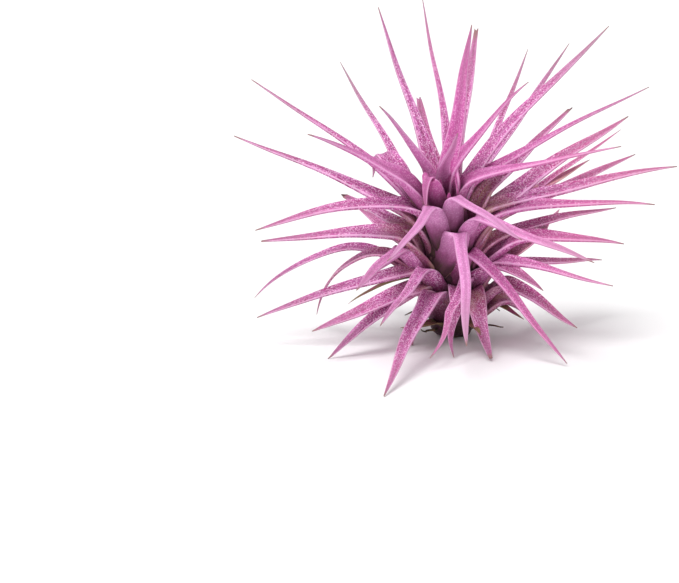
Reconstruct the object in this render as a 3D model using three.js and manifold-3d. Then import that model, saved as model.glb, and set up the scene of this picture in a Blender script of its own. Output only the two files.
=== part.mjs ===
// Guatemala ionantha air plant: a round rosette of stiff, tapering leaves on a short woody stem.
// The plant lies as a loose air plant does, on the butt of its stem and the tips of its lowest
// leaves, with its heart turned up and forwards. Each leaf is a solid of its own, rooted on the stem.
//
// Units are millimetres. +X is to the right of someone who faces the plant, +Y is away from them
// and +Z is up. The origin is on the surface that the plant lies on, in the middle of its footprint.

import * as THREE from "three";
import { mergeVertices } from "three/addons/utils/BufferGeometryUtils.js";
import Module from "manifold-3d";

const wasm = await Module();
wasm.setup();

// The middle of the rosette, which places are measured from, and the way that the stem points.
const CENTRE = new THREE.Vector3(-1.7, 0, 24.5);
const STEM_AXIS = new THREE.Vector3(-0.07, -0.445, 0.893).normalize();
const STEM_SIDES = 14;
const STEM_OUTLINE = [
  // [height along the stem from the middle of the rosette, radius]
  [-34, 3.0],
  [-29, 3.8],
  [-22, 4.6],
  [-14, 5.2],
  [-6, 5.2],
  [0, 4.6],
  [5, 3.6],
  [9, 2.2],
];

// Someone who faces the plant looks down on it by this angle. Leaf tips are placed as they see them.
const VIEW_ELEVATION = 12;

// A leaf's section at each ring of its mesh, by share: 0 to 1 from the root up to the knee and 1 to
// 2 along the blade. The depth of its channel is a share of its width.
const BLADE_SIDES = 6;
const SECTIONS = [
  // [share, width, a claw's width, thickness, depth]
  [0, 4.6, 4.7, 1.6, 0.32],
  [0.45, 5.5, 6.2, 1.5, 0.32],
  [0.85, 4.9, 5.2, 1.3, 0.28],
  [1, 4.2, 3, 1.2, 0.24],
  [1.1, 3.7, 2.4, 1.1, 0.22],
  [1.35, 2.9, 2.2, 1, 0.19],
  [1.6, 2.1, 1.8, 0.9, 0.18],
  [1.85, 1.1, 1.1, 0.7, 0.16],
  [2, 0.6, 0.6, 0.6, 0.1],
];
const LEAST_WIDTH = 0.6; // of a slender blade
const TWIST = THREE.MathUtils.degToRad(22); // most that a blade twists on its way to its tip
const GAP = 0.3; // clearance between two leaves, and between a leaf and the stem
const ROOT_SPACING = 3.7; // least distance between two roots on the stem's surface
const ROOT_HEIGHTS = [-24, 6]; // the lowest and highest root along the stem
const ROOT_SINK = 0.8; // how far inside the stem a leaf's middle line starts
const SHEATH_LENGTH = 13; // from a leaf's root up to its knee
const USUAL_TURN = 4; // length over which a leaf bends at its knee
const CLAW_TURN = 2; // the same for a claw, which folds over sharply

// The leaves, from the heart outwards. A row is [tip across, tip up, tip forward, knee height,
// knee bearing, knee radius, breadth, turn, lean]. The tip is placed from the middle of the rosette.
// The knee is where the leaf turns outwards: its height is along the stem, its bearing in degrees is
// 0 to the right and 90 at the back, and its radius is from the stem's axis. Breadth 1 is usual.
// Turn is given where it isn't the usual one, and so is lean, which is how many degrees round the
// stem the leaf's root is from its knee.
const LEAVES = [
  [-15.5, -5.3, 40, 13.5, -132, 6, 1, 2],
  [12.7, -1, 42, 16.2, -68, 5, 0.82, 2.5],
  [0, 23, 28, 18, 100, 3.5, 0.8],
  [-6, 7.3, 12, 19.2, -170, 4.8, 0.8, 3],
  [1.3, -23.3, 35, 7, -70, 7, 1.15, 2, -75],
  [29, -5, 32, 10.5, -38, 8, 1, 3],
  [-22, -10.7, 32, 1, -168, 12, 1.15, 2.5],
  [16.3, 36, 15, 17, 78, 5, 0.95, 8],
  [4.5, 49.5, 8, 17.5, 84, 5, 1.1],
  [37, 21, 18, 15.5, 30, 6, 1],
  [-16.7, 29, 29, 18, 128, 7, 1.25],
  [-32.4, 23.7, 22, 18, 165, 11, 1.45],
  [45, 35.3, 8, 13, 46, 8, 0.9, 8],
  [37.8, 50.7, -5, 15, 45, 8, 0.95, 16],
  [-16.6, 55.5, -5, 13, 113, 7, 1.05],
  [-46, 37.3, 5, 9, 150, 8, 1, 15],
  [-6.5, 35, -15, 10, 110, 8, 1.3],
  [7, 50.7, -12, 11, 80, 8, 0.9],
  [-5.8, 59.7, -15, 14.5, 80, 7, 0.7],
  [-44.7, 2.4, 12, 12, 178, 11, 1.1, 12],
  [25.3, -27.5, 15, 1.2, -50, 8, 0.9, 3.5],
  [46.8, 9.1, 5, 7, 10, 12, 1.35, 8],
  [34.6, -10.3, 22, -2.5, -20, 12, 1],
  [39.7, 0, 5, 1.1, -4, 16, 1.15, 6],
  [-50.8, 25.6, -10, 7.2, 160, 9, 1.3, 8],
  [-25.5, 44.7, -22, 12, 148, 9.5, 0.75],
  [20.2, 47.7, -20, 8, 48, 9, 0.6],
  [30, 48.5, -18, 10, 54, 9, 0.7],
  [54.3, 18.9, -8, 8, 15, 9, 1.15],
  [-44, 0.5, -3, 4, 180, 12, 1.35],
  [-17, -18.4, 33, -2.5, -134, 9, 0.95, 3],
  [28.4, -20, 8, -9.8, -16, 13.5, 1.1],
  [-45.2, -17.1, -3, -4.3, -160, 9.5, 1.1],
  [20.2, -11.4, 12, -2.4, -30, 13, 1, 8],
  [30.8, 33.3, -22, 10.5, 32, 10.5, 0.9],
  [43.8, 30.6, -15, 6.5, 20, 11, 1.4, 10],
  [36, 21.3, -25, 4, 15, 10, 0.9],
  [47.1, 22.4, -25, 4.5, 10, 10, 0.95],
  [41.9, 8.9, -22, 0.6, 5, 11, 0.9, 10],
  [-46.2, -12.6, -10, -5.2, 166, 28, 0.55, 12],
  [-31.3, -17, -25, -2.3, 180, 21.2, 0.6, 12],
  [-31.8, -20.2, 15, -8.8, -145, 9, 1.5],
  [-28.4, -26.6, 8, -8.4, -150, 9, 1.15, 8],
  [8.6, -26.7, 10, -9.5, -59, 8, 1.3],
  [-5.7, -25.8, 20, -6, -65, 7, 0.7],
  [0.4, -26.3, 8, -8, -80, 7, 0.8],
  [-24.6, 11.7, -20, 3, 165, 9, 0.9],
  [-17.3, 17.7, -35, 16, 135, 20, 1, 6],
  [44.4, 29, -30, 2, 20, 10, 0.6],
  [31, 10, -45, 1, 0, 20, 0.6],
  [40.7, -3, -35, -7.3, -3, 10, 0.95],
  [-21, 9.7, -35, -2, 165, 9, 1.2],
  [23.3, -19.4, -26, -16.5, 0, 12, 1.5],
  [-16.4, -33.6, 40, -8, -120, 10, 1.2, 8],
  [-9, -23.4, -5, -10, -130, 8, 1.2],
  [0, 4, -46, 2, 90, 9, 0.9],
  [14, -8, -42, -4, 70, 10, 0.9],
  [-16, -6, -42, -6, 110, 10, 0.9],
];

// The share of its usual width that a slender leaf's blade lacks towards its tip, by the leaf's
// place in the list above. Below 0 the blade stays broader than usual.
const SLENDER = {
  8: 0.3,
  10: 0.5,
  11: 0.2,
  12: 0.5,
  13: 0.5,
  15: 0.4,
  16: 0.45,
  18: -0.2,
  19: 0.35,
  22: 0.38,
  23: 0.35,
  24: -0.2,
  25: 0.4,
  26: 0.3,
  29: -0.2,
  30: 0.12,
  38: -0.2,
  39: -0.2,
  48: 0.55,
};

// Old dry leaves that stay on the foot of the stem, in rows like the leaves above.
const DRY_LEAVES = [
  [-14, -14, -18, -14, 170, 8, 0.7],
  [10, -16, -22, -16, 60, 8, 0.7],
  [-4, -12, -32, -12, 100, 9, 0.7],
  [18, -18, -8, -18, 0, 8, 0.7],
  [-12, -20, 8, -18, -120, 8, 0.7],
  [6, -21, 14, -18, -60, 7, 0.7],
  [2, -17, -30, -18, 90, 8, 0.7],
  [-24, -14, -22, -12, 150, 9, 0.7],
];
const DRY_SHEATH_LENGTH = 7;

// Wiry roots on the foot of the stem: [tip across, tip up, tip forward, height, bearing].
const ROOT_DIAMETER = 0.9;
const ROOTS = [
  [12, -19.5, 4, -22, -30],
  [-7, -20, 6, -23, -140],
  [5, -17, -22, -22, 80],
  [13, -16, -16, -20, 30],
  [-10, -17, -14, -21, 160],
];

// The bud: a few young leaves that still stand close together on the top of the stem.
const BUD_LEAVES = 5;
const BUD_HEIGHT = 18.5;
const BUD_RADIUS = 1.6;
const GOLDEN_ANGLE = Math.PI * (3 - Math.sqrt(5));

const SPACE = 400; // side of a block larger than the plant, to cut it level with the surface

// A value between the rows of a table of [place, value], joined by straight lines.
function between(rows, place) {
  const next = rows.findIndex(([p]) => p >= place);
  if (next <= 0) return rows[next === 0 ? 0 : rows.length - 1][1];
  const [[p0, v0], [p1, v1]] = [rows[next - 1], rows[next]];
  return v0 + ((v1 - v0) * (place - p0)) / (p1 - p0);
}

// The same number from -1 to 1 each time for a leaf and a purpose.
function vary(leaf, purpose) {
  const x = Math.sin(leaf * 78.233 + purpose * 12.9898) * 4375.85;
  return 2 * (x - Math.floor(x)) - 1;
}

// Directions round the stem: a bearing of 0 is to the right and 90 degrees is up and away.
const TO_RIGHT = new THREE.Vector3(1, 0, 0).addScaledVector(STEM_AXIS, -STEM_AXIS.x).normalize();
const TO_BACK = new THREE.Vector3().crossVectors(STEM_AXIS, TO_RIGHT);

function outward(bearing) {
  return TO_RIGHT.clone()
    .multiplyScalar(Math.cos(bearing))
    .addScaledVector(TO_BACK, Math.sin(bearing));
}

// A point by how the viewer sees it: across to the right, up their picture and forward to them.
function seen(across, up, forward) {
  const tilt = THREE.MathUtils.degToRad(VIEW_ELEVATION);
  return new THREE.Vector3(
    across,
    up * Math.sin(tilt) - forward * Math.cos(tilt),
    up * Math.cos(tilt) + forward * Math.sin(tilt),
  ).add(CENTRE);
}

// A point by its height along the stem, its bearing round it and its distance from the axis.
function round(height, bearing, radius) {
  return CENTRE.clone()
    .addScaledVector(STEM_AXIS, height)
    .addScaledVector(outward(bearing), radius);
}

// A leaf from its row: its tip and knee, and its root on the stem below the knee.
function placeLeaf(row, sheath) {
  const [across, up, forward, kneeHeight, degrees, kneeRadius, breadth] = row;
  const [turn = USUAL_TURN, lean = 0] = row.slice(7);
  return {
    tip: seen(across, up, forward),
    knee: round(kneeHeight, THREE.MathUtils.degToRad(degrees), kneeRadius),
    breadth,
    turn,
    bearing: THREE.MathUtils.degToRad(degrees + lean),
    height: THREE.MathUtils.clamp(kneeHeight - sheath, ...ROOT_HEIGHTS),
  };
}

// Roots that would crowd each other are eased apart over the stem's surface.
function rootedLeaves() {
  const leaves = LEAVES.map((row, i) => ({
    ...placeLeaf(row, SHEATH_LENGTH),
    slim: SLENDER[i + 1] ?? 0,
  }));
  for (let pass = 0; pass < 80; pass++) easeApart(leaves);
  return leaves;
}

function easeApart(leaves) {
  leaves.forEach((a, i) =>
    leaves.slice(i + 1).forEach((b) => {
      const radius = between(STEM_OUTLINE, (a.height + b.height) / 2);
      const difference = b.bearing - a.bearing;
      const turn = Math.atan2(Math.sin(difference), Math.cos(difference));
      const along = b.height - a.height;
      const apart = Math.hypot(turn * radius, along);
      if (apart >= ROOT_SPACING) return;
      const push = (ROOT_SPACING - apart) / 4 / Math.max(apart, 0.01);
      a.bearing -= turn * push;
      b.bearing += turn * push;
      a.height = THREE.MathUtils.clamp(a.height - along * push, ...ROOT_HEIGHTS);
      b.height = THREE.MathUtils.clamp(b.height + along * push, ...ROOT_HEIGHTS);
    }),
  );
}

function rootOf({ height, bearing }) {
  return round(height, bearing, between(STEM_OUTLINE, height) - ROOT_SINK);
}

// A leaf's middle line: a curve from its root up to its knee, and another on from there to its tip.
function spineOf({ tip, knee, turn }, root) {
  const up = knee.clone().sub(root);
  const out = tip.clone().sub(knee);
  const before = Math.min(turn, 0.6 * up.length());
  const after = Math.min(turn, 0.5 * out.length());
  const turning = up.normalize().multiplyScalar(0.3);
  turning.addScaledVector(out.normalize(), 0.7).normalize();
  const middle = knee.clone().addScaledVector(turning, -before);
  const beyond = knee.clone().addScaledVector(turning, after);
  const sheath = new THREE.QuadraticBezierCurve3(root, middle, knee);
  const blade = new THREE.QuadraticBezierCurve3(knee, beyond, tip);
  return (share) => {
    const curve = share > 1 ? blade : sheath;
    const place = share > 1 ? share - 1 : share;
    return [curve.getPointAt(place), curve.getTangentAt(place)];
  };
}

// The direction across a leaf: round the stem at its root, and square to its bend from there on.
function sideOf({ tip, bearing }, root, share) {
  const clasp = new THREE.Vector3().crossVectors(STEM_AXIS, outward(bearing));
  const bend = new THREE.Vector3().crossVectors(STEM_AXIS, tip.clone().sub(root)).normalize();
  if (bend.dot(clasp) < 0) bend.negate();
  return clasp.lerp(bend, THREE.MathUtils.smoothstep(share, 0, 1.2)).normalize();
}

// A closed leaf round its middle line: a six-sided tube whose points are moved out to the leaf's
// section. extra thickens it all round, for cutting its neighbours back.
function bladeGeometry(leaf, root, number, extra = 0) {
  const steps = SECTIONS.length - 1;
  const geometry = new THREE.CylinderGeometry(1, 1, 1, BLADE_SIDES, steps);
  const position = geometry.attributes.position;
  const spine = spineOf(leaf, root);
  const claw = THREE.MathUtils.clamp((USUAL_TURN - leaf.turn) / (USUAL_TURN - CLAW_TURN), 0, 1);
  const edge = Math.sin(Math.PI / 3);
  for (let i = 0; i < position.count; i++) {
    const [x, y, z] = [position.getX(i), position.getY(i), position.getZ(i)];
    const ring = Math.round((y + 0.5) * steps);
    const [share, usual, clawed, thickness, depth] = SECTIONS[ring];
    const [middle, along] = spine(share);
    const side = sideOf(leaf, root, share);
    side.addScaledVector(along, -side.dot(along)).normalize();
    side.applyAxisAngle(along, TWIST * vary(number, 1) * THREE.MathUtils.smoothstep(share, 1, 2));
    const face = new THREE.Vector3().crossVectors(along, side);
    const slender = 1 - (leaf.slim ?? 0) * THREE.MathUtils.smoothstep(share, 1, 1.55);
    const full = THREE.MathUtils.lerp(usual, clawed, claw);
    const width = Math.max(full * slender, LEAST_WIDTH) * leaf.breadth;
    const lift = depth * width * ((x / edge) ** 2 - 0.5);
    const point = middle
      .addScaledVector(side, (x / edge) * (width / 2 + extra))
      .addScaledVector(face, lift - z * (thickness / 2 + extra))
      .addScaledVector(along, extra * (2 * y));
    position.setXYZ(i, point.x, point.y, point.z);
  }
  return geometry;
}

// A closed three.js geometry as a solid that can be joined and cut.
function solidOf(geometry) {
  const bare = geometry.clone();
  bare.deleteAttribute("normal");
  bare.deleteAttribute("uv");
  const merged = mergeVertices(bare, 1e-4);
  return new wasm.Manifold(
    new wasm.Mesh({
      numProp: 3,
      vertProperties: new Float32Array(merged.attributes.position.array),
      triVerts: new Uint32Array(merged.index.array),
    }),
  );
}

function geometryOf(solid) {
  const mesh = solid.getMesh();
  const geometry = new THREE.BufferGeometry();
  geometry.setAttribute("position", new THREE.BufferAttribute(mesh.vertProperties, 3));
  geometry.setIndex(new THREE.BufferAttribute(mesh.triVerts, 1));
  return geometry;
}

function largestPiece(solid) {
  return solid.decompose().sort((a, b) => b.volume() - a.volume())[0];
}

// A shape turned about Y, stood along the stem instead.
function alongStem(geometry) {
  const turn = new THREE.Quaternion().setFromUnitVectors(new THREE.Vector3(0, 1, 0), STEM_AXIS);
  return geometry.applyQuaternion(turn).translate(...CENTRE.toArray());
}

// The stem alone, grown all round by extra.
function stemGeometry(extra = 0) {
  const outline = STEM_OUTLINE.map(([height, radius]) => new THREE.Vector2(radius + extra, height));
  outline[0].y -= extra;
  outline.at(-1).y += extra;
  outline.unshift(new THREE.Vector2(0, outline[0].y));
  outline.push(new THREE.Vector2(0, outline.at(-1).y));
  return alongStem(new THREE.LatheGeometry(outline, STEM_SIDES));
}

// What stands above the surface that the plant lies on.
function aboveSurface() {
  const block = new THREE.BoxGeometry(SPACE, SPACE, SPACE);
  return solidOf(block.translate(0, 0, SPACE / 2));
}

function rootGeometry([across, up, forward, height, degrees], extra = 0) {
  const bearing = THREE.MathUtils.degToRad(degrees);
  const start = round(height, bearing, between(STEM_OUTLINE, height) - 2);
  const bend = round(height, bearing, between(STEM_OUTLINE, height) + 4);
  const end = seen(across, up, forward);
  const path = new THREE.QuadraticBezierCurve3(start, bend, end);
  const section = new THREE.Shape().absarc(0, 0, ROOT_DIAMETER / 2 + extra, 0, 2 * Math.PI);
  return new THREE.ExtrudeGeometry(section, {
    steps: 6,
    curveSegments: 3,
    extrudePath: path,
  });
}

// The stem with its dry leaves and roots, all grown by extra.
function stemSolid(extra = 0) {
  let solid = solidOf(stemGeometry(extra));
  DRY_LEAVES.map((row) => placeLeaf(row, DRY_SHEATH_LENGTH)).forEach((leaf, i) => {
    solid = solid.add(solidOf(bladeGeometry(leaf, rootOf(leaf), i, extra)));
  });
  for (const row of ROOTS) solid = solid.add(solidOf(rootGeometry(row, extra)));
  return solid;
}

// The bud's young leaves round a slim cone, all grown by extra.
function budSolid(extra = 0) {
  const foot = STEM_OUTLINE.at(-1)[0] + GAP - extra;
  const cone = new THREE.LatheGeometry(
    [
      new THREE.Vector2(0, foot),
      new THREE.Vector2(BUD_RADIUS + extra, foot),
      new THREE.Vector2(0, BUD_HEIGHT - 3 + extra),
    ],
    8,
  );
  let solid = solidOf(alongStem(cone));
  for (let i = 0; i < BUD_LEAVES; i++) {
    const bearing = i * GOLDEN_ANGLE;
    const leaf = {
      tip: round(BUD_HEIGHT - i, bearing, 1.5 + 0.6 * i),
      knee: round(BUD_HEIGHT - 5, bearing, 2 + 0.3 * i),
      breadth: 0.45,
      turn: 3,
      bearing,
    };
    const root = round(foot + 1.2 + extra, bearing, 0.6);
    solid = solid.add(solidOf(bladeGeometry(leaf, root, i, extra)));
  }
  return solid;
}

const leafColour = new THREE.MeshStandardMaterial({ color: 0xc667b4, roughness: 0.75 });
const stemColour = new THREE.MeshStandardMaterial({ color: 0x6b5138, roughness: 0.9 });

function named(name, solid, material) {
  const mesh = new THREE.Mesh(geometryOf(solid), material);
  mesh.name = name;
  return mesh;
}

const plant = new THREE.Group();
const above = aboveSurface();
const stem = stemSolid();
const bud = budSolid().subtract(solidOf(stemGeometry(GAP)));
plant.add(named("stem", stem.intersect(above), stemColour));
plant.add(named("bud", bud, leafColour));

// Each leaf gives way to the stem, the bud and the leaves before it, all with the gap round them.
const grown = [stemSolid(GAP), budSolid(GAP)];
rootedLeaves().forEach((leaf, i) => {
  const root = rootOf(leaf);
  const whole = solidOf(bladeGeometry(leaf, root, i));
  let solid = whole.intersect(above);
  for (const earlier of grown) solid = solid.subtract(earlier);
  grown.push(solidOf(bladeGeometry(leaf, root, i, GAP)).add(whole));
  const name = `leaf_${String(i + 1).padStart(2, "0")}`;
  plant.add(named(name, largestPiece(solid), leafColour));
});

export default plant;
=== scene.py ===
"""Guatemala ionantha air plant: the fine leaves, bud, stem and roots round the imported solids.

Leaves are laid out in millimetres from the middle of the rosette, as in the solids' own source,
and are made in metres in the frame's own place.
"""

import math
from types import SimpleNamespace

import bpy
import numpy as np
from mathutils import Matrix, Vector


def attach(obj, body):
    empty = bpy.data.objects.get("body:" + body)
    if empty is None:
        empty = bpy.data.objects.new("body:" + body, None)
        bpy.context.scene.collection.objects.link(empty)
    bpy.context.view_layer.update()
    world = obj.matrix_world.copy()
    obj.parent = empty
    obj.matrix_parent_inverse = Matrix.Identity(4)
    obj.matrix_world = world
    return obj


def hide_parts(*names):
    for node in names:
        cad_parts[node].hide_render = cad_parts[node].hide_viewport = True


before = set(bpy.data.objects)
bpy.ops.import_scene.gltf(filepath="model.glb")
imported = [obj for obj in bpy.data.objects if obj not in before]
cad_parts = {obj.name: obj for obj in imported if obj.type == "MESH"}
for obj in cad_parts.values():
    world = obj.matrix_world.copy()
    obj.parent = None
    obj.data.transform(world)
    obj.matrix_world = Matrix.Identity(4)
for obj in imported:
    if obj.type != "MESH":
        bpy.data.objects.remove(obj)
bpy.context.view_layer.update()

MM = 0.001
BODY = "root"

# The middle of the rosette, the way that the stem points and its outline.
CENTRE = np.array([-1.7, 0, 24.5])
STEM_AXIS = np.array([-0.07, -0.445, 0.893]) / np.linalg.norm([-0.07, -0.445, 0.893])
STEM_OUTLINE = [
    # (height along the stem from the middle of the rosette, radius)
    (-34, 3.0),
    (-29, 3.8),
    (-22, 4.6),
    (-14, 5.2),
    (-6, 5.2),
    (0, 4.6),
    (5, 3.6),
    (9, 2.2),
]

# Someone who faces the plant looks down on it by this angle. Leaf tips are placed as they see them.
VIEW_ELEVATION = math.radians(12)

ROOT_SPACING = 3.7  # least distance between two roots on the stem's surface
EASING_ROUNDS = 80  # how often the roots that are too close are moved apart
EASING = 0.25  # the share of what is lacking that each of two roots moves by in a round
LEAST_APART = 0.01
ROOT_HEIGHTS = (-24, 6)  # the lowest and highest root along the stem
ROOT_SINK = 0.8  # how far inside the stem a leaf's middle line starts
SHEATH_LENGTH = 13  # from a leaf's root up to its knee
USUAL_TURN = 4  # length over which a leaf turns at its knee

# The leaves, from the heart outwards, each with its tip's place across, up and forward, its knee's
# height, bearing and radius, its breadth and its grain: 0 on a smooth leaf and 1 on a scaly one.
# Where they aren't the usual ones, the length over which it turns at its knee follows, and then
# its lean, which is how many degrees round the stem its root is from its knee.
LEAVES = [
    (-15.5, -5.3, 40, 13.5, -132, 6, 1, 0, 2),
    (12.7, -1, 42, 16.2, -68, 5, 0.82, 0, 2.5),
    (0, 23, 28, 18, 100, 3.5, 0.8, 0),
    (-6, 7.3, 12, 19.2, -170, 4.8, 0.8, 0, 3),
    (1.3, -23.3, 35, 7, -70, 7, 1.15, 0, 2, -75),
    (29, -5, 32, 10.5, -38, 8, 1, 0.1, 3),
    (-22, -10.7, 32, 1, -168, 12, 1.15, 0.3, 2.5),
    (16.3, 36, 15, 17, 78, 5, 0.95, 0.1, 8),
    (4.5, 49.5, 8, 17.5, 84, 5, 1.1, 0.1),
    (37, 21, 18, 15.5, 30, 6, 1, 0.1),
    (-16.7, 29, 29, 18, 128, 7, 1.25, 0.1),
    (-32.4, 23.7, 22, 18, 165, 11, 1.45, 0.1),
    (45, 35.3, 8, 13, 46, 8, 0.9, 0.2, 8),
    (37.8, 50.7, -5, 15, 45, 8, 0.95, 0.5, 16),
    (-16.6, 55.5, -5, 13, 113, 7, 1.05, 0.7),
    (-46, 37.3, 5, 9, 150, 8, 1, 0.5, 15),
    (-6.5, 35, -15, 10, 110, 8, 1.3, 0.9),
    (7, 50.7, -12, 11, 80, 8, 0.9, 0.8),
    (-5.8, 59.7, -15, 14.5, 80, 7, 0.7, 0.5),
    (-44.7, 2.4, 12, 12, 178, 11, 1.1, 0.6, 12),
    (25.3, -27.5, 15, 1.2, -50, 8, 0.9, 0.2, 3.5),
    (46.8, 9.1, 5, 7, 10, 12, 1.35, 0.4, 8),
    (34.6, -10.3, 22, -2.5, -20, 12, 1, 0.4),
    (39.7, 0, 5, 1.1, -4, 16, 1.15, 0.4, 6),
    (-50.8, 25.6, -10, 7.2, 160, 9, 1.3, 1, 8),
    (-25.5, 44.7, -22, 12, 148, 9.5, 0.75, 0.9),
    (20.2, 47.7, -20, 8, 48, 9, 0.6, 0.8),
    (30, 48.5, -18, 10, 54, 9, 0.7, 0.9),
    (54.3, 18.9, -8, 8, 15, 9, 1.15, 1),
    (-44, 0.5, -3, 4, 180, 12, 1.35, 1),
    (-17, -18.4, 33, -2.5, -134, 9, 0.95, 0.6, 3),
    (28.4, -20, 8, -9.8, -16, 13.5, 1.1, 0.8),
    (-45.2, -17.1, -3, -4.3, -160, 9.5, 1.1, 0.8),
    (20.2, -11.4, 12, -2.4, -30, 13, 1, 0.6, 8),
    (30.8, 33.3, -22, 10.5, 32, 10.5, 0.9, 1),
    (43.8, 30.6, -15, 6.5, 20, 11, 1.4, 1, 10),
    (36, 21.3, -25, 4, 15, 10, 0.9, 1),
    (47.1, 22.4, -25, 4.5, 10, 10, 0.95, 1),
    (41.9, 8.9, -22, 0.6, 5, 11, 0.9, 1, 10),
    (-46.2, -12.6, -10, -5.2, 166, 28, 0.55, 0.7, 12),
    (-31.3, -17, -25, -2.3, 180, 21.2, 0.6, 0.9, 12),
    (-31.8, -20.2, 15, -8.8, -145, 9, 1.5, 0.8),
    (-28.4, -26.6, 8, -8.4, -150, 9, 1.15, 0.9, 8),
    (8.6, -26.7, 10, -9.5, -59, 8, 1.3, 0.9),
    (-5.7, -25.8, 20, -6, -65, 7, 0.7, 0.5),
    (0.4, -26.3, 8, -8, -80, 7, 0.8, 0.7),
    (-24.6, 11.7, -20, 3, 165, 9, 0.9, 1),
    (-17.3, 17.7, -35, 16, 135, 20, 1, 0.6, 6),
    (44.4, 29, -30, 2, 20, 10, 0.6, 1),
    (31, 10, -45, 1, 0, 20, 0.6, 1),
    (40.7, -3, -35, -7.3, -3, 10, 0.95, 1),
    (-21, 9.7, -35, -2, 165, 9, 1.2, 1),
    (23.3, -19.4, -26, -16.5, 0, 12, 1.5, 1),
    (-16.4, -33.6, 40, -8, -120, 10, 1.2, 0.7, 8),
    (-9, -23.4, -5, -10, -130, 8, 1.2, 1),
    (0, 4, -46, 2, 90, 9, 0.9, 1),
    (14, -8, -42, -4, 70, 10, 0.9, 1),
    (-16, -6, -42, -6, 110, 10, 0.9, 1),
]

# Old dry leaves on the foot of the stem, in the same form.
DRY_LEAVES = [
    (-14, -14, -18, -14, 170, 8, 0.7, 1),
    (10, -16, -22, -16, 60, 8, 0.7, 1),
    (-4, -12, -32, -12, 100, 9, 0.7, 1),
    (18, -18, -8, -18, 0, 8, 0.7, 1),
    (-12, -20, 8, -18, -120, 8, 0.7, 1),
    (6, -21, 14, -18, -60, 7, 0.7, 1),
    (2, -17, -30, -18, 90, 8, 0.7, 1),
    (-24, -14, -22, -12, 150, 9, 0.7, 1),
]
DRY_SHEATH_LENGTH = 7

# The share of its usual width that a slender leaf's blade lacks towards its tip, by the leaf's
# number. Below 0, the blade stays broader than usual.
SLENDER = {
    8: 0.3,
    10: 0.5,
    11: 0.2,
    12: 0.5,
    13: 0.5,
    15: 0.4,
    16: 0.45,
    18: -0.2,
    19: 0.35,
    22: 0.38,
    23: 0.35,
    24: -0.2,
    25: 0.4,
    26: 0.3,
    29: -0.2,
    30: 0.12,
    38: -0.2,
    39: -0.2,
    48: 0.55,
}
SLENDER_FROM = 0.55  # the share of the blade past its knee from which it is fully slender
LEAST_WIDTH = 0.3  # of a slender blade, where a usual one would be wider

# Leaves whose tips have broken off, by number, and how much of the blade is left.
BROKEN = {17: 0.86, 18: 0.86, 30: 0.93, 35: 0.78, 44: 0.93, 47: 0.75, 55: 0.8}
RAGGED = 0.9  # an end is ragged where less than this is left of the blade

# Leaves whose ends bow to one side, by number, and by how many millimetres.
BOWS = {45: 1.2, 46: -1.2}

# Leaves that have begun to fade, by number, and how much.
FADING = {37: 0.6, 41: 0.2, 50: 0.4}

# How much a leaf greys towards its tip: thin leaves that lose most of their dye there, by number,
# and the rest.
DULLING = {5: 0.55, 6: 0.5, 13: 0.4, 14: 0.7, 16: 0.45, 19: 0.5, 26: 0.85, 27: 0.6, 28: 0.6}
USUAL_DULLING = 0.3

# Broken ends that are still fresh, by number, and how dry they are where another tip is 1.
FRESH_ENDS = (17,)
FRESH_DRYNESS = 0.15

# A leaf is warmer in colour the further its tip is to the right, up to a place, and where the tip
# is low: fully so under the first height over the surface, and no more over the second.
WARM_RIGHT = 40
WARM_HEIGHTS = (50, 66)
LOWER_RIGHT_WARMTH = 0.6
VARIED_WARMTH = 0.2  # what varies from leaf to leaf is up to twice this

# How far forward a leaf's tip is where it starts to be paler, and where it is palest.
PALE_FORWARD = (-10, 40)

# Wiry roots: tip across, up and forward, then the height and bearing where each leaves the stem.
ROOTS = [
    (12, -19.5, 4, -22, -30),
    (-7, -20, 6, -23, -140),
    (5, -17, -22, -22, 80),
    (13, -16, -16, -20, 30),
    (-10, -17, -14, -21, 160),
]

ROOT_DIAMETER = 0.9
ROOT_TAPER = 0.75  # how much of its thickness a root loses by its tip
ROOT_START = -2  # how far out from the stem's surface a root starts, and bends down
ROOT_BEND = 4
ROOT_WOBBLES = [(0.35, 17), (0.3, 11)]  # how far it wobbles to the right and back, and how fast
ROOT_STEPS = 39
ROOT_SIDES = 10

# The stem's core, a little inside its outline, with ribs along it and uneven rings round it.
STEM_FOOT = -27.4  # the height along the stem of its cut butt
STEM_FILL = 0.97
STEM_SIDES = 40
STEM_RINGS = 60
RIBS = 9
RIB_DEPTH = 0.05
RIB_SLANT = 0.35
RING_DEPTH = 0.04
RING_PACE = 2.1
RING_UNEVENNESS = 3

# The bud: its leaves open a little more, and end lower, from each to the next.
BUD_LEAVES = 5
BUD_HEIGHT = 18.5
BUD_RADIUS = 1.5
BUD_OPENING = 0.6
BUD_KNEE_HEIGHT = BUD_HEIGHT - 5
BUD_KNEE_RADIUS = 2
BUD_KNEE_OPENING = 0.3
BUD_ROOT_HEIGHT = 10.5
BUD_ROOT_RADIUS = 0.6
BUD_BREADTH = 0.45
BUD_TURN = 3
GOLDEN_ANGLE = math.pi * (3 - math.sqrt(5))

# Numbers after the leaves', so that no pattern on the bud, the stem or the roots is a leaf's, and how
# far apart two patterns are.
BUD_NUMBER = 60
STEM_NUMBER = 90
ROOT_NUMBER = 100
PATTERN_SPACING = 37.0

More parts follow.
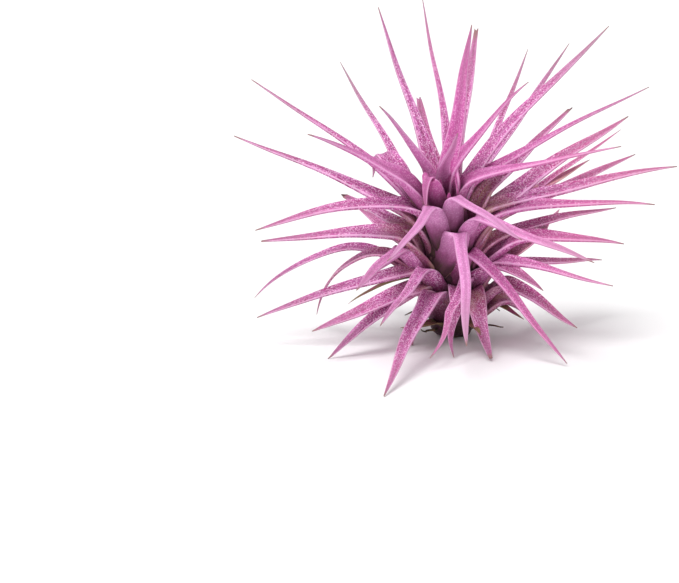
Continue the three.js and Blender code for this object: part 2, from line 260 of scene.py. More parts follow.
# A leaf's section, by share: 0 to 1 from the root up to the knee, and 1 to 2 along the blade. Each
# is given for a straight leaf and for a claw, which turns sharply at its knee.
WIDTHS = [
    (0, 6),
    (0.4, 7),
    (0.75, 6.4),
    (1, 4.8),
    (1.12, 4.1),
    (1.4, 3.0),
    (1.7, 1.8),
    (1.9, 0.8),
    (2, 0.15),
]
CLAW_WIDTHS = [
    (0, 6),
    (0.4, 8),
    (0.68, 8),
    (0.86, 6.6),
    (0.95, 4.5),
    (1, 3.0),
    (1.08, 2.4),
    (1.4, 2.1),
    (1.7, 1.7),
    (1.9, 0.9),
    (2, 0.15),
]
ARCS = [(0, 2.4), (0.6, 2.2), (1, 1.8), (1.3, 1.5), (2, 1.2)]  # angle that the channel turns by
CLAW_ARCS = [(0, 2.4), (0.85, 2.4), (1, 1.2), (2, 1.2)]
THICKNESSES = [(0, 1.3), (0.4, 1.2), (0.6, 1.0), (0.85, 0.6), (1, 0.2)]  # by share of the whole
BROAD_THICKENING = 1.15  # the most that a broad leaf is thicker than a usual one
MARGIN_THICKNESS = 0.06  # half of a margin's, as a share of the leaf's thickness
DRY_ARC = 0.75  # how much of a fresh leaf's channel a dry leaf has, and of its thickness
DRY_THICKNESS = 0.4
SHEATH_STEPS = 22
BLADE_STEPS = 44
HALF_RING = 11

# How a leaf's middle line turns and wanders.
CLAW_TURN = 2  # a claw's length over which it turns at its knee
TURNING = (0.3, 0.7)  # what its sheath and its blade add to its direction at the knee
TURN_LIMITS = (0.6, 0.5)  # the most of its sheath and of its blade that the turn takes up
BEND_SHARE = 1.2  # the share from which it lies square to its bend, and no longer round the stem
TWIST = math.radians(22)  # most that a blade twists on its way to its tip
SWAY = 0.5  # most that it sways to a side
SWAYS = 1.3  # how many times it does
TIP_CURL = 0.7  # most that its tip curls up or down
CURLED_END = 0.82  # the share of the whole from which it curls, bows and is ragged
BOWED_END = 0.65
RAGGED_END = 0.93
RAGGED_PACE = 3.5  # how close together the notches of a ragged end are

# Purposes that a leaf's own numbers are drawn for.
FOR_TWIST, FOR_SWAY, FOR_CURL, FOR_WARMTH = 1, 3, 4, 5

# Where the painted shade between the leaves' bases fades out: the distances from the stem's axis, the
# heights along it, and how much further out that is at the foot of the rosette.
PAINTED_SHADE_DISTANCES = (3.5, 7)
PAINTED_SHADE_HEIGHTS = (12, 17)
PAINTED_SHADE_SPREAD = 2.5
ROSETTE_FOOT = -10

DYED_DISTANCES = (9, 19)  # distances from the stem's axis over which a scaly leaf's base takes dye
STEM_PAINTED_SHADE = (-18, -12)  # heights over which painted shade darkens the stem, up in to the rosette
LEAST_HEIGHT = 0.02  # of any point over the surface that the plant lies on


def between(rows, place):
    """Values at places, between the rows of a table of (place, value)."""
    places, values = zip(*rows)
    return np.interp(place, places, values)


def vary(leaf, purpose):
    """The same number from -1 to 1 each time for a leaf and a purpose."""
    x = math.sin(leaf * 78.233 + purpose * 12.9898) * 4375.85
    return 2 * (x - math.floor(x)) - 1


def unit(vectors):
    return vectors / np.linalg.norm(vectors, axis=-1, keepdims=True)


def smooth_step(x):
    x = np.clip(x, 0, 1)
    return x * x * (3 - 2 * x)


def fade_out(value, full, none):
    """1 up to a value and 0 from a further one on."""
    return smooth_step((none - value) / (none - full))


def end_share(t, start):
    """0 up to a share of the whole, and from there on up to 1 at the end."""
    return np.clip((t - start) / (1 - start), 0, 1)


def reach_along(path):
    """How far along a path each of its points is."""
    return np.concatenate([[0], np.cumsum(np.linalg.norm(np.diff(path, axis=0), axis=1))])


TO_RIGHT = unit(np.array([1, 0, 0]) - STEM_AXIS[0] * STEM_AXIS)
TO_BACK = np.cross(STEM_AXIS, TO_RIGHT)


def outward(bearing):
    return TO_RIGHT * math.cos(bearing) + TO_BACK * math.sin(bearing)


def seen(across, up, forward):
    """A point by how the viewer sees it: across to the right, up their picture, forward to them."""
    c, s = math.cos(VIEW_ELEVATION), math.sin(VIEW_ELEVATION)
    return CENTRE + np.array([across, up * s - forward * c, up * c + forward * s])


def around(height, bearing, radius):
    """A point by its height along the stem, its bearing round it and its distance from the axis."""
    return CENTRE + STEM_AXIS * height + outward(bearing) * radius


def place_leaf(row, sheath):
    across, up, forward, height, degrees, radius, breadth, grain = row[:8]
    turn, lean = (*row[8:], *(USUAL_TURN, 0)[len(row) - 8 :])
    darkest, palest = PALE_FORWARD
    return {
        "tip": seen(across, up, forward),
        "knee": around(height, math.radians(degrees), radius),
        "breadth": breadth,
        "grain": grain,
        "pale": min(max((forward - darkest) / (palest - darkest), 0), 1),
        "turn": turn,
        "bearing": math.radians(degrees + lean),
        "height": min(max(height - sheath, ROOT_HEIGHTS[0]), ROOT_HEIGHTS[1]),
    }


def ease_apart(leaves):
    """Roots that would crowd each other move apart over the stem's surface."""
    for i, a in enumerate(leaves):
        for b in leaves[i + 1 :]:
            radius = between(STEM_OUTLINE, (a["height"] + b["height"]) / 2)
            difference = b["bearing"] - a["bearing"]
            turn = math.atan2(math.sin(difference), math.cos(difference))
            along = b["height"] - a["height"]
            apart = math.hypot(turn * radius, along)
            if apart >= ROOT_SPACING:
                continue
            push = EASING * (ROOT_SPACING - apart) / max(apart, LEAST_APART)
            a["bearing"] -= turn * push
            b["bearing"] += turn * push
            a["height"] = min(max(a["height"] - along * push, ROOT_HEIGHTS[0]), ROOT_HEIGHTS[1])
            b["height"] = min(max(b["height"] + along * push, ROOT_HEIGHTS[0]), ROOT_HEIGHTS[1])


def rooted_leaves():
    leaves = [place_leaf(row, SHEATH_LENGTH) for row in LEAVES]
    for _ in range(EASING_ROUNDS):
        ease_apart(leaves)
    for number, leaf in enumerate(leaves, 1):
        leaf["left"] = BROKEN.get(number, 1)
        leaf["slim"] = SLENDER.get(number, 0)
        leaf["bow"] = BOWS.get(number, 0)
    return leaves


def root_of(leaf):
    radius = between(STEM_OUTLINE, leaf["height"]) - ROOT_SINK
    return around(leaf["height"], leaf["bearing"], radius)


def quadratic(start, middle, end, steps):
    """Points on a curve, their directions and the share of its length that each is at."""
    t = np.linspace(0, 1, steps + 1)[:, None]
    place = (1 - t) ** 2 * start + 2 * t * (1 - t) * middle + t * t * end
    along = unit((1 - t) * (middle - start) + t * (end - middle))
    reach = reach_along(place)
    return place, along, reach / reach[-1]


def spine_of(leaf, root):
    """A leaf's middle line with its directions and shares: up to the knee, and on to the tip."""
    knee, tip = leaf["knee"], leaf["tip"]
    turning = unit(TURNING[0] * unit(knee - root) + TURNING[1] * unit(tip - knee))
    before = min(leaf["turn"], TURN_LIMITS[0] * np.linalg.norm(knee - root))
    after = min(leaf["turn"], TURN_LIMITS[1] * np.linalg.norm(tip - knee))
    low, low_way, low_share = quadratic(root, knee - turning * before, knee, SHEATH_STEPS)
    high, high_way, high_share = quadratic(knee, knee + turning * after, tip, BLADE_STEPS)
    place = np.concatenate([low, high[1:]])
    along = np.concatenate([low_way, high_way[1:]])
    share = np.concatenate([low_share, 1 + high_share[1:]])
    return place, along, share


def sides_of(leaf, root, number, along, share):
    """The ways across a leaf and out of its upper face, all along it."""
    clasp = np.cross(STEM_AXIS, outward(leaf["bearing"]))
    bend = unit(np.cross(STEM_AXIS, leaf["tip"] - root))
    if bend @ clasp < 0:
        bend = -bend
    blend = smooth_step(share / BEND_SHARE)[:, None]
    side = unit(clasp * (1 - blend) + bend * blend)
    side = unit(side - along * np.sum(side * along, axis=1, keepdims=True))
    face = np.cross(along, side)
    twist = TWIST * vary(number, FOR_TWIST) * smooth_step(share - 1)[:, None]
    twisted_side = side * np.cos(twist) + face * np.sin(twist)
    twisted_face = face * np.cos(twist) - side * np.sin(twist)
    return twisted_side, twisted_face


def section_of(leaf, share, t, dry):
    """A leaf's width, the angle that its channel turns by and its thickness, all along it."""
    claw = float(np.clip((USUAL_TURN - leaf["turn"]) / (USUAL_TURN - CLAW_TURN), 0, 1))
    whole_share = np.where(share > 1, 1 + (share - 1) * leaf.get("left", 1), share)
    widths = between(WIDTHS, whole_share) * (1 - claw) + between(CLAW_WIDTHS, whole_share) * claw
    slender = 1 - leaf.get("slim", 0) * smooth_step((whole_share - 1) / SLENDER_FROM)
    widths = np.maximum(widths * slender, np.minimum(widths, LEAST_WIDTH)) * leaf["breadth"]
    arc = between(ARCS, share) * (1 - claw) + between(CLAW_ARCS, share) * claw
    thick = between(THICKNESSES, t) * min(leaf["breadth"], BROAD_THICKENING)
    if dry:
        arc = arc * DRY_ARC
        thick = thick * DRY_THICKNESS
    return widths, arc, thick


def ring_outline():
    """Places round a section, from -1 at one margin to 1 at the other and back underneath, and
    which face each is on: 1 on the upper one and -1 on the lower one."""
    over = np.sin(np.linspace(-1, 1, HALF_RING + 1) * math.pi / 2)
    u = np.concatenate([over, over[-2:0:-1]])
    upper = np.concatenate([np.ones(HALF_RING + 1), -np.ones(HALF_RING - 1)])
    return u, upper


def blade_rings(leaf, root, number, dry=False):
    """Rings of points round a leaf's channelled section from root to tip, with their readings."""
    place, along, share = spine_of(leaf, root)
    reach = reach_along(place)
    t = reach / reach[-1]
    widths, arc, thick = section_of(leaf, share, t, dry)
    side, face = sides_of(leaf, root, number, along, share)

    sway = SWAY * np.sin(2 * math.pi * (SWAYS * t + vary(number, FOR_SWAY))) * np.sin(math.pi * t) ** 2
    curl = TIP_CURL * vary(number, FOR_CURL) * end_share(t, CURLED_END) ** 2
    bow = leaf.get("bow", 0) * np.sin(math.pi * end_share(t, BOWED_END))
    place = place + side * (sway + bow)[:, None] + face * curl[:, None]

    u, upper = ring_outline()
    half = 0.5 * np.sqrt(np.clip(1 - np.abs(u) ** 3, 0, 1)) + MARGIN_THICKNESS
    radius = widths / arc
    angle = u[None, :] * arc[:, None] / 2
    ring_radius = radius[:, None] - thick[:, None] * (upper * half)[None, :]
    rise = radius * (1 - np.cos(arc / 2)) / 2
    x = ring_radius * np.sin(angle)
    z = radius[:, None] - ring_radius * np.cos(angle) - rise[:, None]
    grid = place[:, None, :] + side[:, None, :] * x[..., None] + face[:, None, :] * z[..., None]
    if leaf.get("left", 1) < RAGGED:
        ragged = np.sin(RAGGED_PACE * u + number)[None, :] * end_share(t, RAGGED_END)[:, None]
        grid = grid + along[:, None, :] * ragged[..., None]
    grid[..., 2] = np.maximum(grid[..., 2], LEAST_HEIGHT)

    readings = {
        "along": over_rings(t, u),
        "reach": over_rings(reach, u),
        "across": u[None, :] * widths[:, None] / 2 + PATTERN_SPACING * number,
        "margin": np.repeat(np.abs(u)[None, :], len(t), axis=0),
        "inner": np.repeat((upper > 0).astype(float)[None, :], len(t), axis=0),
        "sheath": over_rings(np.clip(1 - share, 0, 1), u),
        **depth_readings(grid),
    }
    return grid, readings


def over_rings(values, places):
    """A reading that is the same all round each ring."""
    return np.repeat(values[:, None], len(places), axis=1)


def depth_readings(grid):
    """How much painted shade each point takes between the leaves' bases, and how near to the stem it
    is.
    """
    from_centre = grid - CENTRE
    height = from_centre @ STEM_AXIS
    distance = np.linalg.norm(from_centre - height[..., None] * STEM_AXIS, axis=2)
    below = smooth_step(height / ROSETTE_FOOT)
    # Painted shade: full near the stem's axis, fading out further from it and higher up.
    dark = fade_out(distance - below * PAINTED_SHADE_SPREAD, *PAINTED_SHADE_DISTANCES)
    return {
        "deep": dark * fade_out(height, *PAINTED_SHADE_HEIGHTS),
        "near": fade_out(distance, *DYED_DISTANCES),
    }


def mesh_from_rings(name, grids):
    """One mesh of closed tubes, each from its grid of rings and its readings at those points."""
    verts, faces, readings = [], [], {}
    for grid, values in grids:
        rings, around_ring, _ = grid.shape
        start = len(verts)
        verts.extend(map(tuple, grid.reshape(-1, 3) * MM))
        for i in range(rings - 1):
            for j in range(around_ring):
                k = (j + 1) % around_ring
                a, b = start + i * around_ring, start + (i + 1) * around_ring
                faces.append((a + j, a + k, b + k, b + j))
        for ring, flip in ((0, True), (rings - 1, False)):
            pole = len(verts)
            verts.append(tuple(grid[ring].mean(axis=0) * MM))
            base = start + ring * around_ring
            for j in range(around_ring):
                k = (j + 1) % around_ring
                pair = (base + k, base + j) if flip else (base + j, base + k)
                faces.append((*pair, pole))
        for key, array in values.items():
            poles = [array[0].mean(), array[-1].mean()]
            readings.setdefault(key, []).append(np.concatenate([array.reshape(-1), poles]))
    mesh = bpy.data.meshes.new(name)
    mesh.from_pydata(verts, [], faces)
    for key, parts in readings.items():
        layer = mesh.attributes.new(key, "FLOAT", "POINT")
        layer.data.foreach_set("value", np.concatenate(parts).astype(np.float32))
    mesh.shade_smooth()
    mesh.validate()
    return mesh


def add_object(name, data):
    added = bpy.data.objects.new(name, data)
    bpy.context.scene.collection.objects.link(added)
    return added


def add_piece(name, grids, material, replaced):
    mesh = mesh_from_rings(name, grids)
    mesh.materials.append(material)
    piece = add_object(name, mesh)
    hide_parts(replaced)
    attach(piece, BODY)


class Nodes:
    """Short calls for building a material's nodes."""

    def __init__(self, name):
        self.material = bpy.data.materials.new(name)
        self.material.use_nodes = True
        self.tree = self.material.node_tree
        self.tree.nodes.clear()
        self.shader = self.tree.nodes.new("ShaderNodeBsdfPrincipled")
        out = self.tree.nodes.new("ShaderNodeOutputMaterial")
        self.tree.links.new(self.shader.outputs[0], out.inputs[0])

    def put(self, value, socket):
        if isinstance(value, bpy.types.NodeSocket):
            self.tree.links.new(value, socket)
        else:
            socket.default_value = value

    def dress(self, colour, roughness, normal):
        self.put(colour, self.shader.inputs["Base Color"])
        self.put(roughness, self.shader.inputs["Roughness"])
        self.put(normal, self.shader.inputs["Normal"])

    def reading(self, name):
        node = self.tree.nodes.new("ShaderNodeAttribute")
        node.attribute_name = name
        return node.outputs["Fac"]

    def math(self, operation, a, b):
        node = self.tree.nodes.new("ShaderNodeMath")
        node.operation = operation
        self.put(a, node.inputs[0])
        self.put(b, node.inputs[1])
        return node.outputs[0]

    def plus(self, a, b):
        return self.math("ADD", a, b)

    def times(self, a, b):
        return self.math("MULTIPLY", a, b)

    def shift(self, pattern, most):
        """A pattern from 0 to 1 as a shift to either side, most from end to end."""
        return self.times(self.math("SUBTRACT", pattern, 0.5), most)

    def step(self, value, low, high, to_low=0.0, to_high=1.0):
        node = self.tree.nodes.new("ShaderNodeMapRange")
        node.interpolation_type = "SMOOTHSTEP"
        self.put(value, node.inputs[0])
        for socket, number in zip(node.inputs[1:5], (low, high, to_low, to_high)):
            socket.default_value = number
        return node.outputs[0]

    def mix(self, factor, a, b):
        node = self.tree.nodes.new("ShaderNodeMix")
        node.data_type = "RGBA"
        self.put(factor, node.inputs[0])
        self.put(a, node.inputs[6])
        self.put(b, node.inputs[7])
        return node.outputs[2]

    def place(self, x, y):
        node = self.tree.nodes.new("ShaderNodeCombineXYZ")
        self.put(x, node.inputs[0])
        self.put(y, node.inputs[1])
        return node.outputs[0]

    def noise(self, place, scale, detail=2.0, rough=0.5):
        node = self.tree.nodes.new("ShaderNodeTexNoise")
        node.inputs["Scale"].default_value = scale
        node.inputs["Detail"].default_value = detail
        node.inputs["Roughness"].default_value = rough
        self.put(place, node.inputs["Vector"])
        return node.outputs["Fac"]

    def cells(self, place, scale):
        """Cells: how far each place is from its cell's middle, and two random numbers a cell."""
        node = self.tree.nodes.new("ShaderNodeTexVoronoi")
        node.inputs["Scale"].default_value = scale
        self.put(place, node.inputs["Vector"])
        split = self.tree.nodes.new("ShaderNodeSeparateColor")
        self.put(node.outputs["Color"], split.inputs[0])
        return node.outputs["Distance"], split.outputs[0], split.outputs[1]

    def bump(self, height, distance, strength, under=None):
        node = self.tree.nodes.new("ShaderNodeBump")
        node.inputs["Distance"].default_value = distance
        node.inputs["Strength"].default_value = strength
        self.put(height, node.inputs["Height"])
        if under is not None:
            self.put(under, node.inputs["Normal"])
        return node.outputs[0]


def srgb(red, green, blue):
    """A colour from its everyday 0 to 255 levels."""
    levels = [c / 255 for c in (red, green, blue)]
    linear = [c / 12.92 if c <= 0.04045 else ((c + 0.055) / 1.055) ** 2.4 for c in levels]
    return (*linear, 1.0)


def grey(level):
    return (level, level, level, 1)


ORCHID = srgb(194, 88, 158)
ORCHID_PALE = srgb(218, 148, 200)
MAUVE = srgb(198, 114, 178)
MAGENTA = srgb(170, 44, 124)
ROSE = srgb(210, 92, 146)
PLUM = srgb(118, 36, 88)
SCALE_LILAC = srgb(255, 212, 244)
# The sheath's undyed olive and brown, made darker than their own colour as painted shade in the
# crevices between the leaves' bases.
SHADE_DARKENED_OLIVE = srgb(62, 54, 32)
SHADE_DARKENED_SHEATH_BROWN = srgb(60, 36, 40)
FADED = srgb(232, 198, 172)
BASE_BROWN = srgb(150, 84, 104)
BASE_OLIVE = srgb(160, 130, 96)
# Painted shade deep between the leaves' bases and on the stem up in the rosette.
HEART_PAINTED_SHADE = srgb(52, 20, 34)
MARGIN_PALE = srgb(214, 170, 150)
TIP_BROWN = srgb(150, 112, 112)
TIP_GREY = srgb(158, 134, 142)
BARK = srgb(84, 60, 42)
BARK_DARK = srgb(48, 34, 26)
STRAW = srgb(150, 122, 84)

SMOOTH_ROUGHNESS = grey(0.5)
SCALY_ROUGHNESS = grey(0.72)
SCALE_ROUGHNESS = grey(0.45)

LEAF_READINGS = (
    "along",
    "reach",
    "across",
    "margin",
    "inner",
    "sheath",
    "deep",
    "near",
    "grain",
    "pale",
    "tone",
    "faded",
    "dulled",
    "dried",
)


def add_leaf_pattern(n, skin):
    """Fine lines along the leaf, wide blotches, and scales of varied brightness and shade."""
    skin.lines = n.noise(n.place(skin.across, n.times(skin.reach, 0.05)), 2.6, 3.0, 0.6)
    skin.blotch = n.noise(n.place(skin.across, n.times(skin.reach, 0.45)), 0.4, 3.0, 0.55)
    place = n.place(skin.across, n.times(skin.reach, 0.8))
    skin.distance, spark, skin.shade = n.cells(place, 3.3)
    bright = n.times(n.step(spark, 0.1, 0.6, 0.5, 1.0), n.step(skin.distance, 0.55, 0.3))
    bright = n.times(bright, n.step(skin.along, 0.95, 0.6, 0.3, 1.0))
    skin.bright = n.times(bright, n.step(skin.margin, 0.99, 0.93))


def dyed_colour(n, skin):
    """Orchid where the leaf is smooth, and magenta under lilac scales where it is scaly."""
    lightness = n.plus(skin.pale, n.shift(skin.blotch, 0.6))
    smooth_colour = n.mix(n.step(lightness, 0.3, 1.05), ORCHID, ORCHID_PALE)
    smooth_colour = n.mix(n.times(n.step(skin.lines, 0.5, 0.7), 0.3), smooth_colour, MAGENTA)

    ground = n.mix(n.step(skin.shade, 0.2, 0.8), PLUM, MAGENTA)
    ground = n.mix(n.step(skin.lines, 0.35, 0.7), ground, MAUVE)
    warm = n.times(n.times(skin.tone, n.step(skin.along, 0.3, 0.8)), 0.8)
    ground = n.mix(warm, ground, ROSE)
    patchy = n.step(n.noise(n.place(skin.across, skin.reach), 0.5), 0.3, 0.6, 0.65, 0.95)
    scaly_colour = n.mix(n.times(skin.bright, patchy), ground, SCALE_LILAC)
    return n.mix(n.step(skin.grain, -0.45, 0.9), smooth_colour, scaly_colour)


def with_margins(n, skin, colour):
    """A darker channel and pale margins, and straw where an old leaf fades from its edges in."""
    channel = n.times(n.step(skin.margin, 0.8, 0.1), n.times(skin.inner, 0.3))
    colour = n.mix(channel, colour, PLUM)
    edge = n.times(n.step(skin.margin, 0.95, 0.99), n.step(skin.grain, 0.0, 1.0, 0.35, 0.6))
    colour = n.mix(edge, colour, SCALE_LILAC)
    faded = n.times(skin.faded, n.step(skin.margin, 0.2, 1.0, 0.5, 1.0))
    return n.mix(faded, colour, n.mix(n.step(skin.lines, 0.4, 0.6), FADED, ROSE))


def with_base(n, skin, colour):
    """Less dye on the bases of scaly leaves, none on the sheath, whose olive and brown are darkened as
    painted shade, and painted shade between the bases.
    """
    bare = n.times(skin.near, n.step(skin.grain, 0.6, 1.0, 0.0, 0.75))
    bare = n.times(bare, n.step(skin.lines, 0.3, 0.55))
    colour = n.mix(bare, colour, n.mix(n.step(skin.blotch, 0.4, 0.6), BASE_BROWN, BASE_OLIVE))
    # Towards the root the leaf turns plum and then to the sheath's undyed olive and brown, which are
    # darkened as painted shade.
    undyed_and_shaded = n.plus(skin.sheath, n.shift(skin.blotch, 0.6))
    colour = n.mix(n.step(undyed_and_shaded, 0.15, 0.6, 0.0, 0.75), colour, PLUM)
    base = n.mix(n.step(skin.lines, 0.35, 0.65), SHADE_DARKENED_OLIVE, SHADE_DARKENED_SHEATH_BROWN)
    base = n.mix(n.step(skin.margin, 0.8, 0.97), base, MARGIN_PALE)
    colour = n.mix(n.step(undyed_and_shaded, 0.45, 0.9), colour, base)
    # Painted shade deep between the leaves' bases.
    return n.mix(n.times(skin.deep, 0.5), colour, HEART_PAINTED_SHADE)


def with_tip(n, skin, colour):
    """Grey towards the tip, and brown at its dry end."""
    colour = n.mix(n.times(n.step(skin.along, 0.55, 1.0), skin.dulled), colour, TIP_GREY)
    dry = n.plus(skin.along, n.shift(skin.lines, 0.08))
    return n.mix(n.times(n.step(dry, 0.945, 1.0), skin.dried), colour, TIP_BROWN)


def leaf_material():
    """Dyed leaf skin: smooth on young leaves and covered in fine pale scales on old ones."""
    n = Nodes("leaf_skin")
    skin = SimpleNamespace(**{name: n.reading(name) for name in LEAF_READINGS})
    add_leaf_pattern(n, skin)
    colour = dyed_colour(n, skin)
    colour = with_margins(n, skin, colour)
    colour = with_base(n, skin, colour)
    colour = with_tip(n, skin, colour)
    roughness = n.mix(skin.grain, SMOOTH_ROUGHNESS, SCALY_ROUGHNESS)
    roughness = n.mix(skin.bright, roughness, SCALE_ROUGHNESS)
    ridges = n.bump(skin.lines, 0.05 * MM, 0.5)
    scales = n.times(n.step(skin.distance, 0.6, 0.0), n.plus(skin.grain, 0.15))
    n.dress(colour, roughness, n.bump(scales, 0.08 * MM, 0.7, ridges))
    n.shader.inputs["Specular IOR Level"].default_value = 0.3
    n.shader.inputs["Sheen Weight"].default_value = 0.1
    n.shader.inputs["Sheen Tint"].default_value = ORCHID_PALE
    return n.material


def dry_material():
    """Papery old leaf: straw and bark brown in lengthwise streaks, with a little dye on it."""
    n = Nodes("dry_leaf")
    along, reach, across = n.reading("along"), n.reading("reach"), n.reading("across")
    streaks = n.noise(n.place(across, n.times(reach, 0.06)), 2.6, 4.0, 0.65)
    blotch = n.noise(n.place(across, n.times(reach, 0.4)), 0.6, 3.0)
    colour = n.mix(n.step(streaks, 0.35, 0.65), BARK, STRAW)
    colour = n.mix(n.times(n.step(blotch, 0.5, 0.65), 0.55), colour, MAGENTA)
    # Towards its root, the olive that is darkened as painted shade.
    colour = n.mix(n.step(along, 0.5, 0.0), colour, SHADE_DARKENED_OLIVE)
    n.dress(colour, n.step(streaks, 0.3, 0.7, 0.95, 0.75), n.bump(streaks, 0.15 * MM, 0.8))
    return n.material


def bark_material():
    """Fibrous brown stem and roots, with painted shade on the stem up in the rosette."""
    n = Nodes("stem_fibre")
    reach, across = n.reading("reach"), n.reading("across")
    fibres = n.noise(n.place(across, n.times(reach, 0.1)), 2.2, 5.0, 0.7)
    patches = n.noise(n.place(across, reach), 0.35)
    colour = n.mix(n.step(fibres, 0.35, 0.7), BARK_DARK, BARK)
    colour = n.mix(n.times(n.step(patches, 0.45, 0.65), 0.5), colour, STRAW)
    # Painted shade on the stem up in the rosette.
    colour = n.mix(n.reading("deep"), colour, HEART_PAINTED_SHADE)
    n.dress(colour, n.step(fibres, 0.3, 0.7, 0.95, 0.8), n.bump(fibres, 0.3 * MM, 1.0))
    return n.material


def add_constants(readings, **values):
    """Readings that are the same all over a leaf."""
    shape = readings["along"].shape
    for key, value in values.items():
        readings[key] = np.full(shape, float(value))


def warmth(leaf, i):
    across, _, up = leaf["tip"]
    lower_right = smooth_step(across / WARM_RIGHT) * fade_out(up, *WARM_HEIGHTS)
    return VARIED_WARMTH * (vary(i, FOR_WARMTH) + 1) + LOWER_RIGHT_WARMTH * lower_right


def add_leaves(material):
    for i, leaf in enumerate(rooted_leaves()):
        number = i + 1
        grid, readings = blade_rings(leaf, root_of(leaf), i)
        add_constants(
            readings,
            grain=leaf["grain"],
            pale=leaf["pale"],
            tone=warmth(leaf, i),
            faded=FADING.get(number, 0),
            dulled=DULLING.get(number, USUAL_DULLING),
            dried=FRESH_DRYNESS if number in FRESH_ENDS else 1,
        )
        add_piece(f"blade_{number:02d}", [(grid, readings)], material, f"leaf_{number:02d}")


def add_bud(material):
    """The youngest leaves, close together round the stem's top."""
    grids = []
    for i in range(BUD_LEAVES):
        bearing = i * GOLDEN_ANGLE
        leaf = {
            "tip": around(BUD_HEIGHT - i, bearing, BUD_RADIUS + BUD_OPENING * i),
            "knee": around(BUD_KNEE_HEIGHT, bearing, BUD_KNEE_RADIUS + BUD_KNEE_OPENING * i),
            "breadth": BUD_BREADTH,
            "turn": BUD_TURN,
            "bearing": bearing,
        }
        root = around(BUD_ROOT_HEIGHT, bearing, BUD_ROOT_RADIUS)
        grid, readings = blade_rings(leaf, root, BUD_NUMBER + i)
        add_constants(readings, grain=0, pale=0.3, tone=0.5, faded=0, dulled=0, dried=1)
        grids.append((grid, readings))
    add_piece("bud_leaves", grids, material, "bud")


SLANTED_WAY = (0.3, 0.9, 0.1)  # a way that neither the stem nor a root follows


def tube_rings(path, radii, number):
    """Rings round a path, for a stem or a root, from the radius of each point of each ring."""
    sides = radii.shape[1]
    along = unit(np.gradient(path, axis=0))
    side = unit(np.cross(along, SLANTED_WAY))
    other = np.cross(along, side)
    angle = np.linspace(0, 2 * math.pi, sides, endpoint=False)
    to_side = np.cos(angle)[None, :, None] * side[:, None, :]
    to_other = np.sin(angle)[None, :, None] * other[:, None, :]
    grid = path[:, None, :] + (to_side + to_other) * radii[..., None]
    grid[..., 2] = np.maximum(grid[..., 2], LEAST_HEIGHT)
    readings = {
        "reach": over_rings(reach_along(path), angle),
        "across": np.sin(angle)[None, :] * radii * 2 + PATTERN_SPACING * number,
    }
    return grid[:, ::-1], readings


def add_stem_core(bark):
    """The stem without its old leaves and its roots."""
    heights = np.linspace(STEM_FOOT, STEM_OUTLINE[-1][0], STEM_RINGS)
    path = CENTRE + heights[:, None] * STEM_AXIS
    angle = np.linspace(0, 2 * math.pi, STEM_SIDES, endpoint=False)
    ribs = 1 + RIB_DEPTH * np.sin(RIBS * angle[None, :] + RIB_SLANT * heights[:, None])
    unevenness = RING_UNEVENNESS * np.sin(angle[None, :])
    rings = 1 + RING_DEPTH * np.sin(RING_PACE * heights[:, None] + unevenness)
    radii = between(STEM_OUTLINE, heights)[:, None] * ribs * rings * STEM_FILL
    grid, readings = tube_rings(path, radii, STEM_NUMBER)
    # Painted shade, growing up the stem in to the rosette.
    light, dark = STEM_PAINTED_SHADE
    readings["deep"] = over_rings(smooth_step((heights - light) / (dark - light)), angle)
    add_piece("stem_core", [(grid, readings)], bark, "stem")


def add_dry_leaves(dry):
    for i, row in enumerate(DRY_LEAVES):
        leaf = place_leaf(row, DRY_SHEATH_LENGTH)
        rings = blade_rings(leaf, root_of(leaf), i, dry=True)
        add_piece(f"dry_leaf_{i + 1}", [rings], dry, "stem")


def add_roots(bark):
    """Roots that leave the stem straight out, and wobble and thin on their way down."""
    grids = []
    t = np.linspace(0, 1, ROOT_STEPS + 1)[:, None]
    for i, (across, up, forward, height, degrees) in enumerate(ROOTS):
        bearing = math.radians(degrees)
        surface = float(between(STEM_OUTLINE, height))
        start = around(height, bearing, surface + ROOT_START)
        bend = around(height, bearing, surface + ROOT_BEND)
        path, _, _ = quadratic(start, bend, seen(across, up, forward), ROOT_STEPS)
        for way, phase, (most, pace) in zip((TO_RIGHT, TO_BACK), (i, 2 * i), ROOT_WOBBLES):
            path = path + most * np.sin(t * pace + phase) * np.sin(math.pi * t) * way
        radii = np.full((ROOT_STEPS + 1, ROOT_SIDES), ROOT_DIAMETER / 2) * (1 - ROOT_TAPER * t)
        grids.append(tube_rings(path, radii, ROOT_NUMBER + i))
    add_piece("wiry_roots", grids, bark, "stem")


# The floor's reach to each side in metres, and the two greys of its paper.
FLOOR_REACH = 6.0
PAPER_GREYS = (grey(0.86), grey(0.9))


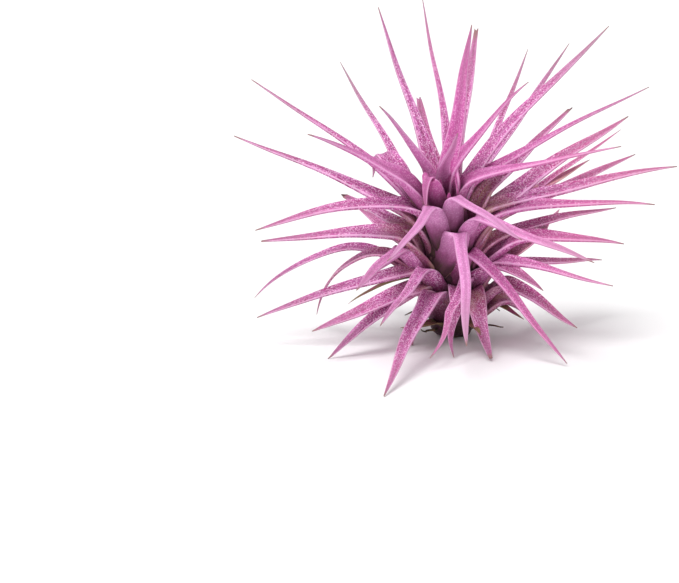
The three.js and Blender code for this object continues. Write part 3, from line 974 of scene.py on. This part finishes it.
def add_floor():
    """White paper that the plant lies on."""
    mesh = bpy.data.meshes.new("floor")
    corners = [(-1, -1), (1, -1), (1, 1), (-1, 1)]
    verts = [(x * FLOOR_REACH, y * FLOOR_REACH, 0) for x, y in corners]
    mesh.from_pydata(verts, [], [(0, 1, 2, 3)])
    floor = add_object("floor", mesh)
    n = Nodes("floor_paper")
    where = n.tree.nodes.new("ShaderNodeTexCoord").outputs["Object"]
    n.put(n.mix(n.noise(where, 3.0), *PAPER_GREYS), n.shader.inputs["Base Color"])
    n.shader.inputs["Roughness"].default_value = 0.9
    mesh.materials.append(n.material)


# Brightness of the sky, and of each sun with the way towards it and its width in degrees.
SKY = 0.5
SUNS = {
    "key": (2.7, (-0.3, -0.35, 0.95), 35),
    "fill": (0.7, (0.2, -1, 0.3), 60),
}


def add_lights():
    """An even white sky, a large soft sun at the upper left and a weak one behind the viewer."""
    world = bpy.data.worlds.new("studio")
    world.use_nodes = True
    background = world.node_tree.nodes["Background"]
    background.inputs["Color"].default_value = grey(1)
    background.inputs["Strength"].default_value = SKY
    bpy.context.scene.world = world
    for name, (energy, way, width) in SUNS.items():
        light = bpy.data.lights.new(name, "SUN")
        light.energy = energy
        light.angle = math.radians(width)
        lamp = add_object(name, light)
        lamp.rotation_euler = (-Vector(way)).to_track_quat("-Z", "Y").to_euler()


# The camera's picture: its width and focal length in picture dots, which give the photo's scale at
# the camera's distance, where the middle of the rosette falls from the picture's own middle, in
# millimetres at the rosette, and what it sees between in metres.
PICTURE_WIDTH = 679
FOCAL_LENGTH = 1806
SENSOR_WIDTH = 36
DISTANCE = 420
ASIDE = 25.7
ABOVE = 11.3
CLIP = (0.01, 50)


def add_camera():
    camera = add_object("camera", bpy.data.cameras.new("camera"))
    camera.data.sensor_width = SENSOR_WIDTH
    camera.data.lens = FOCAL_LENGTH / PICTURE_WIDTH * SENSOR_WIDTH
    camera.data.clip_start, camera.data.clip_end = CLIP
    camera.location = Vector(seen(-ASIDE, -ABOVE, DISTANCE) * MM)
    camera.rotation_euler = (math.pi / 2 - VIEW_ELEVATION, 0, 0)
    bpy.context.scene.camera = camera


bpy.context.scene.view_settings.view_transform = "Standard"
add_camera()
add_lights()
add_floor()
leaf_skin, bark = leaf_material(), bark_material()
add_leaves(leaf_skin)
add_bud(leaf_skin)
add_stem_core(bark)
add_dry_leaves(dry_material())
add_roots(bark)
